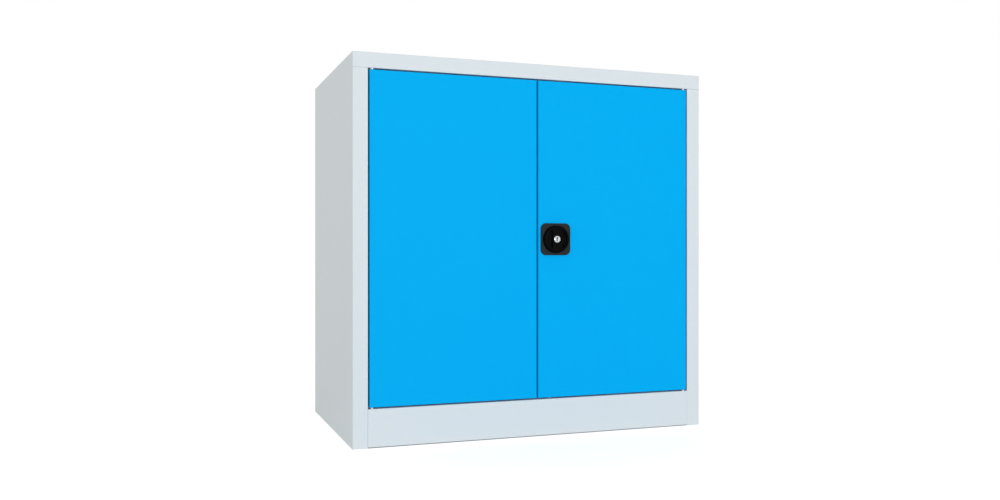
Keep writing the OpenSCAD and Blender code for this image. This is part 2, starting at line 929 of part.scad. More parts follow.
// Turning knob: a round body with a rounded rim and two finger wells beside a grip bar
module lock_knob() {
    color(black_colour)
        at_lock()
            difference() {
                union() {
                    translate([0, 0, knob_base])
                        rotate_extrude() {
                            square([knob_r - knob_round, knob_h]);
                            square([knob_r, knob_h - knob_round]);
                            translate([knob_r - knob_round, knob_h - knob_round])
                                intersection() {
                                    circle(knob_round);
                                    square(knob_round);
                                }
                        }
                    translate([0, 0, -hub_end])
                        cylinder(r = hub_r, h = knob_base + hub_end + cut);
                }
                translate([0, 0, knob_top - well_d])
                    linear_extrude(well_d + cut)
                        difference() {
                            circle(knob_r - well_rim);
                            square([grip_w, knob_d], center = true);
                        }
                translate([0, 0, knob_base])
                    cylinder(d = cylinder_d, h = knob_h + cut);
                translate([-spindle_w / 2, -spindle_w / 2, -hub_end - cut])
                    cube([spindle_w, spindle_w, hub_end + cut + spindle_front]);
            }
}

// Lock cylinder pressed into the knob, and the plug that turns in it
module lock_cylinder() {
    face = knob_top + face_proud;
    bottom = knob_base;
    color(nickel_colour)
        at_lock()
            difference() {
                translate([0, 0, bottom])
                    cylinder(d = cylinder_d, h = face - bottom);
                translate([0, 0, face - plug_sink - plug_len - seat_gap])
                    cylinder(d = plug_d + 2 * run_fit, h = plug_len + cut);
            }
}
module key_plug() {
    face = knob_top + face_proud - plug_sink;
    color(nickel_colour)
        at_lock()
            difference() {
                translate([0, 0, face - plug_len])
                    cylinder(d = plug_d, h = plug_len);
                translate([-key_w / 2, -key_h / 2, face - plug_len + key_floor])
                    cube([key_w, key_h, plug_len]);
            }
}

// Square spindle from the knob to the latch hook, with a threaded end for the nut
module lock_spindle() {
    color(zinc_colour)
        at_lock() {
            translate([-spindle_w / 2, -spindle_w / 2, -hook_rear])
                cube([spindle_w, spindle_w, hook_rear + spindle_front]);
            translate([0, 0, -hook_rear - nut_t - thread_end])
                cylinder(d = nut_thread, h = nut_t + thread_end);
        }
}

// Half the angle of a tooth at the base circle
tooth_foot = 90 / pinion_teeth - backlash * 45 / PI / pitch_r + turned(roll(pitch_r / base_r));

// Flank of one tooth, from the base circle to the tip, on the side given by s
function flank(s) = [
    for (i = [0 : flank_steps])
        let (a = roll(tip_r / base_r) * i / flank_steps)
        polar(base_r * sqrt(1 + a * a), s * (tooth_foot - turned(a)))
];
function reversed(list) = [for (i = [len(list) - 1 : -1 : 0]) list[i]];
function rotated(p, a) = [p[0] * cos(a) - p[1] * sin(a), p[0] * sin(a) + p[1] * cos(a)];

// Outline of one tooth: root, rising flank, falling flank, root
tooth = concat(
    [polar(root_r, -tooth_foot)], flank(-1), reversed(flank(1)), [polar(root_r, tooth_foot)]
);

// Pinion with involute teeth, and journals that turn in the case and its cover
module drive_pinion() {
    color(zinc_colour)
        at_lock()
            difference() {
                union() {
                    translate([0, 0, -gear_rear])
                        linear_extrude(gear_t)
                            polygon([
                                for (i = [0 : pinion_teeth - 1], p = tooth)
                                    rotated(p, i * 360 / pinion_teeth)
                            ]);
                    translate([0, 0, -case_rear + seat_gap])
                        cylinder(r = gear_hub_r, h = case_rear - case_front - 2 * seat_gap);
                    translate([0, 0, -cover_rear])
                        cylinder(r = journal_r, h = cover_rear - sheet);
                }
                translate([-spindle_w / 2, -spindle_w / 2, -cover_rear - cut])
                    cube([spindle_w, spindle_w, cover_rear + 2 * cut]);
            }
}

// Latch hook on the spindle's end, upright while the lock is open
module latch_hook() {
    tip = hook_w / 2;
    color(zinc_colour)
        at_lock()
            translate([0, 0, -hook_rear])
                linear_extrude(hook_t)
                    difference() {
                        union() {
                            circle(spindle_w / sqrt(2) + hook_wall);
                            translate([-hook_w / 2, 0])
                                square([hook_w, hook_reach - tip]);
                            translate([0, hook_reach - tip])
                                circle(tip);
                        }
                        square(spindle_w, center = true);
                    }
}
module spindle_nut() {
    color(zinc_colour)
        at_lock()
            translate([0, 0, -hook_rear - nut_t])
                difference() {
                    cylinder(d = nut_across / cos(30), h = nut_t, $fn = 6);
                    translate([0, 0, -cut])
                        cylinder(d = nut_thread, h = nut_t + 2 * cut);
                }
}

// Rack beside the pinion: teeth from low to high, with a tooth space level with the axis,
// and a plain end where the rod joins it
module rack(side, low, high) {
    half = tooth_pitch / 4 - backlash / 4;
    slope = tan(pressure_angle);
    wide = half + (rack_root - pitch_r) * slope;
    narrow = half - (pitch_r - rack_tip) * slope;
    back = rod_offset + rod_d / 2 - rack_flat;
    teeth = [
        for (k = [ceil(low / tooth_pitch) : floor(high / tooth_pitch) - 1])
            let (c = (k + 0.5) * tooth_pitch)
            each [
                [rack_root, c - wide], [rack_tip, c - narrow],
                [rack_tip, c + narrow], [rack_root, c + wide]
            ]
    ];
    start = side < 0 ? low - rack_end : low;
    end = side > 0 ? high + rack_end : high;
    outline = concat([[back, start], [rack_root, start]], teeth, [[rack_root, end], [back, end]]);
    at_lock()
        translate([0, 0, -gear_rear])
            linear_extrude(gear_t)
                polygon([for (p = outline) [side * p[0], p[1]]]);
}

// Round rod with a chamfered tip, from its tip at z = 0 up to its length
module rod(length) {
    cylinder(d1 = rod_d - 2 * tip_chamfer, d2 = rod_d, h = tip_chamfer);
    translate([0, 0, tip_chamfer])
        cylinder(d = rod_d, h = length - tip_chamfer);
}
module lower_locking_rod() {
    color(zinc_colour) {
        translate([lock_x - rod_offset, front_y + rod_back, lower_tip])
            rod(lock_z - rack_short - lower_tip);
        rack(-1, -rack_short, rack_long);
    }
}
module upper_locking_rod() {
    color(zinc_colour) {
        translate([lock_x + rod_offset, front_y + rod_back, upper_tip])
            mirror([0, 0, 1])
                rod(upper_tip - lock_z - rack_short);
        rack(1, -rack_long, rack_short);
    }
}

side_panel_left();
side_panel_right();
top_panel();
back_panel();
plinth();
floor_panel();
floor_stiffener();
shelf_rail_front_left();
shelf_rail_front_right();
shelf_rail_rear_left();
shelf_rail_rear_right();
lower_shelf();
lower_shelf_stiffener();
lower_shelf_clips();
upper_shelf();
upper_shelf_stiffener();
upper_shelf_clips();
pivot_plates();
lower_pivot_pins();
upper_pivot_pins();
door_buffers();
left_door_panel();
left_door_stiffener();
left_pivot_bushes();
strike_plate();
right_door_panel();
right_door_stiffener();
right_pivot_bushes();
lock_rosette();
lock_case();
lock_cover();
lock_screws();
cover_screws();
upper_rod_guide();
lower_rod_guide();
lock_knob();
lock_cylinder();
lock_spindle();
drive_pinion();
latch_hook();
spindle_nut();
key_plug();
upper_locking_rod();
lower_locking_rod();
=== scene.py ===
"""Looks of a low sheet-steel tool cabinet with two doors, shelves and a rotary lock.

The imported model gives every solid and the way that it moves. This script dresses the solids,
puts finer surfaces in place of the turned and moulded pieces, and sets up a plain studio.
The pieces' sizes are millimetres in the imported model's frame, and the studio's are metres.
"""

import json
import logging
import math
from collections.abc import Sequence
from dataclasses import dataclass, field
from enum import Enum

import bmesh
import bpy
import numpy as np
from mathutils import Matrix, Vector


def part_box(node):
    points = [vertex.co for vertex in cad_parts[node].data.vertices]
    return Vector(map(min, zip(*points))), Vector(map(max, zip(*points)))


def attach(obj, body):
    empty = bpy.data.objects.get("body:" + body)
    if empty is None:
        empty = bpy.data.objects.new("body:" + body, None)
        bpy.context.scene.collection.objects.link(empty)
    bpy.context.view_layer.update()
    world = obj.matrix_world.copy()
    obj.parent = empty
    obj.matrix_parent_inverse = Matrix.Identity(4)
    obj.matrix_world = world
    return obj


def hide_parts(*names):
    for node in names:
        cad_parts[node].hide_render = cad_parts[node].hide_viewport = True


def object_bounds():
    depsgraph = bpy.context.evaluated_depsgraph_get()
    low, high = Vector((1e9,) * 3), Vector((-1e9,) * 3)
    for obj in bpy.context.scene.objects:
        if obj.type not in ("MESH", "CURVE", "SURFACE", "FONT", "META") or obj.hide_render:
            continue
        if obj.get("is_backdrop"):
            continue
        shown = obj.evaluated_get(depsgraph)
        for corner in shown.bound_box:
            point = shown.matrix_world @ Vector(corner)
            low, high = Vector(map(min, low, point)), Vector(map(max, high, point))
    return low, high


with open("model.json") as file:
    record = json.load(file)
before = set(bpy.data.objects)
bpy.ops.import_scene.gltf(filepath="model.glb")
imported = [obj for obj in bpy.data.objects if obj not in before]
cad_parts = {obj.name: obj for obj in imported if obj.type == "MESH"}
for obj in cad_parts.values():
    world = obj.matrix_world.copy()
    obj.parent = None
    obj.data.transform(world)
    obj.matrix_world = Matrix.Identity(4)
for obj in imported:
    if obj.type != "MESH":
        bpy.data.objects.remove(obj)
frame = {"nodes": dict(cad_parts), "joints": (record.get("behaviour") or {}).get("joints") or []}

LOG = logging.getLogger("cabinet")

# One millimetre, in metres.
MM = 0.001
# Points that lie closer than this, in metres, become one.
WELD = 1e-6
# Share of an arc's radius from its ends to the points that keep the flats beside it flat.
HOLD = 0.02
# Edges that turn by more than this, in radians, stay sharp.
SHARP = math.radians(35)
# Settings of the slow noise, of the grain's noise and of the lathe's rings.
DRIFT_NOISE = {"Detail": 4.0, "Roughness": 0.6}
GRAIN_NOISE = {"Detail": 2.0, "Roughness": 0.55}
RING_NOISE = {"Distortion": 0.4, "Detail": 2.0}
# Distance between two rings of the wave texture at scale 1, in metres.
RING_STEP = math.pi / 10
# Numbers of the Mix node's two colour inputs and of its colour output.
MIX_FROM, MIX_TO, MIX_RESULT = 6, 7, 2

Array = np.ndarray
Socket = bpy.types.NodeSocket
Tree = bpy.types.NodeTree
Piece = bpy.types.Object


class Side(Enum):
    """The two sides of the cabinet, seen from the front."""

    LEFT = -1
    RIGHT = 1


class End(Enum):
    """The two ends of a door, and the way from there into the door."""

    LOWER = 1
    UPPER = -1


# Frame


def axis_place(joint: str) -> tuple[float, float, float]:
    """Point on a hinge's axis, to the micrometre.

    Args:
        joint: name of the hinge.

    Returns:
        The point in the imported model's frame, in millimetres.
    """
    x, y, z = next(row["pos_m"] for row in frame["joints"] if row["name"] == joint)
    return round(x / MM, 3), round(y / MM, 3), round(z / MM, 3)


def outer_end(node: str, end: End) -> float:
    """Height of a solid's bottom if it lies at the doors' lower end, or else of its top.

    Args:
        node: name of the solid.
        end: end of the doors that it lies at.

    Returns:
        The height, in millimetres, to the micrometre.
    """
    low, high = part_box(node)
    return round((low if end is End.LOWER else high)[2] / MM, 3)


# Surfaces


def rounded(corners: Sequence[tuple[float, float]], radii: dict[int, float], steps: int = 6) -> Array:
    """Path through corners, some of them rounded.

    At a rounded corner with radius r and turn angle a, the arc leaves the path r tan(a / 2)
    before the corner. Its points are the arc's centre plus the start's spoke, turned by even
    shares of a. One more point on each side, close to the arc, keeps the flats beside it flat.

    Args:
        corners: the path's corners, as (across, up) pairs.
        radii: radius of each rounded corner, by the corner's number.
        steps: number of chords in each arc.

    Returns:
        The path's points, one row each.
    """
    path = np.asarray(corners, float)
    parts = [path[:1]]
    for number in range(1, len(path) - 1):
        corner, radius = path[number], radii.get(number, 0.0)
        if not radius:
            parts.append(corner[None])
            continue
        before, after = path[number - 1] - corner, path[number + 1] - corner
        u, v = -before / np.linalg.norm(before), after / np.linalg.norm(after)
        turn = math.atan2(u[0] * v[1] - u[1] * v[0], u @ v)
        start = corner - u * radius * math.tan(abs(turn) / 2)
        end = corner + v * radius * math.tan(abs(turn) / 2)
        centre = start + radius * math.copysign(1, turn) * np.array([-u[1], u[0]])
        spoke = start - centre
        a = np.linspace(0, turn, steps + 1)
        arc = centre + np.column_stack(
            [spoke[0] * np.cos(a) - spoke[1] * np.sin(a), spoke[0] * np.sin(a) + spoke[1] * np.cos(a)]
        )
        hold = radius * HOLD
        parts += [(start - u * hold)[None], arc, (end + v * hold)[None]]
    parts.append(path[-1:])
    return np.concatenate(parts)


def revolved(path: Array, columns: int) -> Array:
    """Surface of revolution: (r cos t, r sin t, h) for each path point (r, h) and even angle t.

    Args:
        path: radius and height of each point of the path.
        columns: number of points round each ring.

    Returns:
        Grid of points, one ring for each point of the path.
    """
    t = np.linspace(0, 2 * np.pi, columns, endpoint=False)
    r, h = path[:, :1], path[:, 1:]
    return np.stack([r * np.cos(t), r * np.sin(t), h + 0 * t], axis=-1)


def level(outline: Array, height: float) -> Array:
    """One ring of a grid: the outline's points, all at one height."""
    return np.column_stack([outline, np.full(len(outline), height)])


def shrunk(ring: Array) -> Array:
    """A ring drawn together into its middle, which closes the surface there."""
    return np.broadcast_to(ring.mean(axis=0), ring.shape)


def placed(grid: Array, origin: Sequence[float], right: Sequence[float], up: Sequence[float],
           out: Sequence[float]) -> Array:
    """Local points (a, b, c) in the cabinet's frame: origin + a right + b up + c out.

    Args:
        grid: the local points.
        origin: where the local zero lies.
        right: direction of the first local axis.
        up: direction of the second local axis.
        out: direction of the third local axis.

    Returns:
        The points in the cabinet's frame.
    """
    return grid @ np.array([right, up, out], float) + np.array(origin, float)


@dataclass
class Shell:
    """Grids of points that weld together into one closed piece."""

    name: str
    finishes: tuple["Finish", ...]
    points: list[Array] = field(default_factory=list)
    quads: list[Array] = field(default_factory=list)
    coats: list[Array] = field(default_factory=list)
    count: int = 0

    def add(self, grid: Array, coat: int = 0) -> None:
        """Adds rings of points, and the quads between each ring and the next.

        Point (i, j) is joined to (i, j + 1), (i + 1, j + 1) and (i + 1, j), and the last point
        of a ring to its first.

        Args:
            grid: points as rings, points of a ring and three coordinates, in millimetres.
            coat: number of the finish that these faces get.
        """
        rings, columns = grid.shape[:2]
        here = np.arange(rings * columns).reshape(rings, columns) + self.count
        beside = np.roll(here, -1, axis=1)
        quads = np.stack([here[:-1], beside[:-1], beside[1:], here[1:]], axis=-1).reshape(-1, 4)
        self.points.append(grid.reshape(-1, 3))
        self.quads.append(quads)
        self.coats.append(np.full(len(quads), coat))
        self.count += rings * columns

    def build(self, body: str, slot: str, nodes: Sequence[str]) -> Piece:
        """Makes the piece, welds its seams, turns its faces outwards and hands it to its body.

        Args:
            body: body that the piece moves with.
            slot: material slot of the record; not used.
            nodes: solids that it stands for.

        Returns:
            The new piece.
        """
        mesh = bpy.data.meshes.new(self.name)
        points = np.concatenate(self.points) * MM
        mesh.from_pydata(points.tolist(), [], np.concatenate(self.quads).tolist())
        mesh.polygons.foreach_set("material_index", np.concatenate(self.coats))
        tidy = bmesh.new()
        tidy.from_mesh(mesh)
        bmesh.ops.remove_doubles(tidy, verts=tidy.verts, dist=WELD)
        bmesh.ops.recalc_face_normals(tidy, faces=tidy.faces)
        tidy.to_mesh(mesh)
        tidy.free()
        mesh.shade_smooth()
        mesh.set_sharp_from_angle(angle=SHARP)
        for finish in self.finishes:
            mesh.materials.append(finish.material())
        piece = bpy.data.objects.new(self.name, mesh)
        bpy.context.scene.collection.objects.link(piece)
        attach(piece, body)
        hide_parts(*nodes)
        LOG.info("%s: %d faces, in place of %s", self.name, len(mesh.polygons), ", ".join(nodes))
        return piece


# Finishes


def linear(code: str) -> tuple[float, float, float, float]:
    """Linear colour of an sRGB hex code: c / 12.92 up to 0.04045, ((c + 0.055) / 1.055)^2.4 above."""
    parts = [int(code[i : i + 2], 16) / 255 for i in (1, 3, 5)]
    return (*[c / 12.92 if c <= 0.04045 else ((c + 0.055) / 1.055) ** 2.4 for c in parts], 1.0)


def add_node(tree: Tree, kind: str, settings: dict[str, object] | None = None,
             values: dict[str | int, object] | None = None,
             links: dict[str | int, Socket] | None = None) -> bpy.types.Node:
    """Adds one node with its settings and links.

    Args:
        tree: node tree that gets the node.
        kind: type name of the node.
        settings: the node's own properties.
        values: values of its inputs, by name or number.
        links: sockets that feed its inputs, by name or number.

    Returns:
        The new node.
    """
    node = tree.nodes.new(kind)
    for name, value in (settings or {}).items():
        setattr(node, name, value)
    for name, value in (values or {}).items():
        node.inputs[name].default_value = value
    for name, socket in (links or {}).items():
        tree.links.new(socket, node.inputs[name])
    return node


@dataclass(frozen=True)
class Finish:
    """A surface finish, whose material is made once and then shared.

    The surface has a fine relief of one grain size, and a slow drift of colour and gloss.
    """

    name: str
    colour: str
    drift_colour: str
    roughness: float
    rough_drift: float
    grain_mm: float
    relief_mm: float
    metallic: float = 0.0
    specular: float = 0.5
    drift_mm: float = 120.0
    stretch: tuple[float, float, float] = (1.0, 1.0, 1.0)

    def material(self) -> bpy.types.Material:
        """The finish's material, made at the first call."""
        return bpy.data.materials.get(self.name) or self.make()

    def make(self) -> bpy.types.Material:
        """Makes the material: object-space noise drives the colour, the roughness and a bump.

        Returns:
            The new material.
        """
        material = bpy.data.materials.new(self.name)
        material.use_nodes = True
        tree = material.node_tree
        tree.nodes.clear()
        place = add_node(tree, "ShaderNodeTexCoord").outputs["Object"]
        drift = add_node(
            tree, "ShaderNodeTexNoise",
            values={"Scale": 1 / (self.drift_mm * MM), **DRIFT_NOISE}, links={"Vector": place},
        ).outputs["Fac"]
        tint = add_node(
            tree, "ShaderNodeMix", {"data_type": "RGBA"},
            values={MIX_FROM: linear(self.colour), MIX_TO: linear(self.drift_colour)},
            links={0: drift},
        ).outputs[MIX_RESULT]
        smoothest, dullest = self.roughness - self.rough_drift, self.roughness + self.rough_drift
        gloss = add_node(
            tree, "ShaderNodeMapRange", values={"To Min": smoothest, "To Max": dullest},
            links={"Value": drift},
        ).outputs["Result"]
        relief = add_node(
            tree, "ShaderNodeBump", values={"Strength": 1.0, "Distance": self.relief_mm * MM},
            links={"Height": self.relief(tree, place)},
        ).outputs["Normal"]
        shader = add_node(
            tree, "ShaderNodeBsdfPrincipled",
            values={"Metallic": self.metallic, "Specular IOR Level": self.specular},
            links={"Base Color": tint, "Roughness": gloss, "Normal": relief},
        )
        add_node(tree, "ShaderNodeOutputMaterial", links={"Surface": shader.outputs["BSDF"]})
        return material

    def relief(self, tree: Tree, place: Socket) -> Socket:
        """Height of the relief: noise with the finish's grain size, stretched along the tool marks.

        Args:
            tree: node tree of the material.
            place: coordinates that the relief is fixed to.

        Returns:
            The height's socket.
        """
        run = add_node(
            tree, "ShaderNodeMapping", {"vector_type": "POINT"},
            values={"Scale": self.stretch}, links={"Vector": place},
        ).outputs["Vector"]
        return add_node(
            tree, "ShaderNodeTexNoise",
            values={"Scale": 1 / (self.grain_mm * MM), **GRAIN_NOISE}, links={"Vector": run},
        ).outputs["Fac"]


@dataclass(frozen=True)
class TurnedFinish(Finish):
    """A finish with the fine rings that a lathe leaves round one axis."""

    axis_mm: tuple[float, float, float] = (0.0, 0.0, 0.0)

    def relief(self, tree: Tree, place: Socket) -> Socket:
        """Height of the relief: rings round the axis, one ring each grain size.

        Args:
            tree: node tree of the material.
            place: coordinates that the relief is fixed to.

        Returns:
            The height's socket.
        """
        centred = add_node(
            tree, "ShaderNodeMapping", {"vector_type": "POINT"},
            values={"Location": [-c * MM for c in self.axis_mm]}, links={"Vector": place},
        ).outputs["Vector"]
        return add_node(
            tree, "ShaderNodeTexWave",
            {"wave_type": "RINGS", "rings_direction": "Y", "wave_profile": "SIN"},
            values={"Scale": RING_STEP / (self.grain_mm * MM), **RING_NOISE},
            links={"Vector": centred},
        ).outputs["Fac"]


LOCK_AXIS = axis_place("knob_turn")

# Polyester powder coat, baked on steel sheet: an even, slightly pebbled skin without sparkle.
CARCASS_PAINT = Finish(
    "powder_coat_light_grey", "#D7E0E5", "#D9E2E7", roughness=0.55, rough_drift=0.03,
    grain_mm=1.6, relief_mm=0.03, specular=0.2,
)
DOOR_PAINT = Finish(
    "powder_coat_bright_blue", "#00ADF1", "#00AFF2", roughness=0.55, rough_drift=0.03,
    grain_mm=1.6, relief_mm=0.03, specular=0.03,
)
# Bright zinc plating on rolled or drawn steel: a cool grey metal with faint milky clouds.
ZINC = Finish(
    "bright_zinc_plating", "#B9BFC4", "#A7ADB0", roughness=0.36, rough_drift=0.06,
    grain_mm=0.8, relief_mm=0.006, metallic=1.0, drift_mm=14.0,
)
# The same plating on drawn rod, with fine lines along its length.
DRAWN_ZINC = Finish(
    "zinc_plated_drawn_rod", "#BDC3C8", "#AFB5B9", roughness=0.4, rough_drift=0.05,
    grain_mm=0.6, relief_mm=0.002, metallic=1.0, drift_mm=20.0, stretch=(1.0, 1.0, 0.04),
)
# Moulded ABS from a spark-eroded tool: dull, with a fine even grain.
GREY_ABS = Finish(
    "moulded_abs_dark_grey", "#24272A", "#272A2D", roughness=0.5, rough_drift=0.04,
    grain_mm=0.7, relief_mm=0.02, specular=0.08,
)
# Moulded glass-filled nylon in deep black: satin, with soft glints along its rounded edges.
BLACK_NYLON = Finish(
    "moulded_nylon_black", "#030304", "#050506", roughness=0.32, rough_drift=0.04,
    grain_mm=0.6, relief_mm=0.008, specular=0.03,
)
# Turned and nickel-plated brass: a bright face with the rings of the tool.
NICKEL = TurnedFinish(
    "turned_nickel_plated_brass", "#CBCFD2", "#C4C8CB", roughness=0.17, rough_drift=0.02,
    grain_mm=0.5, relief_mm=0.002, metallic=1.0, drift_mm=9.0, axis_mm=LOCK_AXIS,
)
# Bare oiled brass down in the keyway, darkened to a dull dark brown as painted shade for the deep slot.
KEYWAY_BRASS_PAINTED_SHADE = Finish(
    "oiled_brass_keyway", "#2A261F", "#1F1C17", roughness=0.6, rough_drift=0.05,
    grain_mm=0.5, relief_mm=0.004, metallic=0.6,
)
# Unfilled nylon: milky white and waxy.
NATURAL_NYLON = Finish(
    "moulded_nylon_natural", "#E9E8E0", "#E3E2D8", roughness=0.4, rough_drift=0.05,
    grain_mm=0.8, relief_mm=0.008,
)
# Moulded nitrile rubber: dull black that goes slightly grey.
RUBBER = Finish(
    "moulded_nitrile_rubber", "#17181A", "#202123", roughness=0.8, rough_drift=0.05,
    grain_mm=0.6, relief_mm=0.02,
)


def dress(finish: Finish, *nodes: str) -> None:
    """Gives solids that keep their own shape a finish.

    Args:
        finish: finish of their surface.
        nodes: names of the solids.
    """
    for name in nodes:
        solid = frame["nodes"][name]
        solid.data.materials.clear()
        solid.data.materials.append(finish.material())
        LOG.info("%s: %s", name, finish.name)


# Cabinet


class Carcass:
    """The grey sheet-steel box, its shelves and the plated parts fixed to it."""

    def build(self) -> None:
        """Dresses the carcass."""
        dress(
            CARCASS_PAINT, "side_panel_left", "side_panel_right", "top_panel", "back_panel", "plinth",
            "floor_panel", "floor_stiffener", "shelf_rail_front_left", "shelf_rail_front_right",
            "shelf_rail_rear_left", "shelf_rail_rear_right", "lower_shelf", "lower_shelf_stiffener",
            "upper_shelf", "upper_shelf_stiffener",
        )
        dress(ZINC, "lower_shelf_clips", "upper_shelf_clips", "pivot_plates")


class Doors:
    """The two blue door trays with what is fixed inside them."""

    def build(self) -> None:
        """Dresses both doors."""
        dress(
            DOOR_PAINT, "left_door_panel", "left_door_stiffener", "right_door_panel",
            "right_door_stiffener",
        )
        dress(ZINC, "strike_plate")
        dress(
            NATURAL_NYLON, "left_pivot_bushes", "right_pivot_bushes", "upper_rod_guide",
            "lower_rod_guide",
        )


@dataclass
class PivotPins:
    """Two turned pins that a pair of door corners hangs on."""

    end: End
    radius: float = 3.0
    collar_radius: float = 5.0
    collar: float = 3.7
    stub: float = 4.0
    reach: float = 18.0
    bevel: float = 1.0
    stub_round: float = 0.3
    collar_round: float = 0.4
    bevel_rounds: tuple[float, float] = (0.8, 0.4)
    columns: int = 48

    def profile(self) -> Array:
        """Half-section from the riveted end over the collar to the bevelled tip.

        Returns:
            The section's points, as radius and height over the seat.
        """
        r, c = self.radius, self.collar_radius
        return rounded(
            [
                (0, -self.stub), (r, -self.stub), (r, 0), (c, 0), (c, self.collar), (r, self.collar),
                (r, self.reach - self.bevel), (r - self.bevel, self.reach), (0, self.reach),
            ],
            {1: self.stub_round, 4: self.collar_round, 6: self.bevel_rounds[0], 7: self.bevel_rounds[1]},
        )

    def build(self) -> Piece:
        """Makes both pins of this end of the doors.

        Returns:
            The piece that holds the two pins.
        """
        end, way = self.end.name.lower(), self.end.value
        node = f"{end}_pivot_pins"
        seat = outer_end(node, self.end) + way * self.stub
        pin = revolved(self.profile(), self.columns)
        shell = Shell(f"{end}_pins", (ZINC,))
        for side in Side:
            x, y, _ = axis_place(f"{side.name.lower()}_door_hinge")
            shell.add(placed(pin, (x, y, seat), (1, 0, 0), (0, 1, 0), (0, 0, way)))
        return shell.build("cabinet", "zinc_plated_steel", [node])


@dataclass
class Buffers:
    """Four moulded rubber buffers on the door stops."""

    x: float = 95.0
    stop_y: float = -273.0
    heights: tuple[float, float] = (106.5, 953.0)
    radius: float = 6.0
    crown: float = 4.9
    thickness: float = 4.7
    foot_round: float = 0.3
    crown_round: float = 1.2
    columns: int = 48

    def build(self) -> Piece:
        """Makes the buffers: a low cone with a rounded shoulder, revolved.

        Returns:
            The piece that holds the four buffers.
        """
        path = rounded(
            [(0, 0), (self.radius, 0), (self.crown, self.thickness), (0, self.thickness)],
            {1: self.foot_round, 2: self.crown_round},
        )
        buffer = revolved(path, self.columns)
        shell = Shell("buffers", (RUBBER,))
        for side in Side:
            for height in self.heights:
                middle = (side.value * self.x, self.stop_y, height)
                shell.add(placed(buffer, middle, (1, 0, 0), (0, 0, 1), (0, -1, 0)))
        return shell.build("cabinet", "rubber", ["door_buffers"])


# Lock


def on_lock(grid: Array) -> Array:
    """Points given as right, up and out of the door from the lock's axis, in the cabinet's frame."""
    return placed(grid, LOCK_AXIS, (1, 0, 0), (0, 0, 1), (0, -1, 0))


@dataclass
class Rosette:
    """Square moulded plate under the knob."""

    half: float = 43.0
    corner: float = 15.0
    thickness: float = 3.6
    edge_round: float = 0.8
    edge_band: float = 3.0
    hole: float = 11.08
    corner_steps: int = 12

    def outline(self, offset: float) -> Array:
        """Rounded square, moved outwards by an offset: four arcs whose centres stay in place.

        Args:
            offset: distance outwards from the plate's own outline.

        Returns:
            Points round the square, from the right-hand side, anticlockwise.
        """
        a = np.radians(np.linspace(0, 90, self.corner_steps + 1)) + np.radians([[0], [90], [180], [270]])
        middle = (self.half - self.corner) * np.array([[1, 1], [-1, 1], [-1, -1], [1, -1]])
        reach = self.corner + offset
        return np.stack(
            [middle[:, :1] + reach * np.cos(a), middle[:, 1:] + reach * np.sin(a)], axis=-1
        ).reshape(-1, 2)

    def build(self) -> Piece:
        """Carries the edge profile round the square, then closes it over the hub's hole.

        Returns:
            The rosette.
        """
        edge = rounded(
            [(0, 0), (0, self.thickness), (-self.edge_band, self.thickness)], {1: self.edge_round}
        )
        rings = [level(self.outline(offset), height) for offset, height in edge]
        angle = np.arctan2(*self.outline(0).T[::-1])
        hole = self.hole * np.column_stack([np.cos(angle), np.sin(angle)])
        rings += [level(hole, self.thickness), level(hole, 0), rings[0]]
        shell = Shell("rosette", (GREY_ABS,))
        shell.add(on_lock(np.stack(rings)))
        return shell.build("right_door", "grey_plastic", ["lock_rosette"])


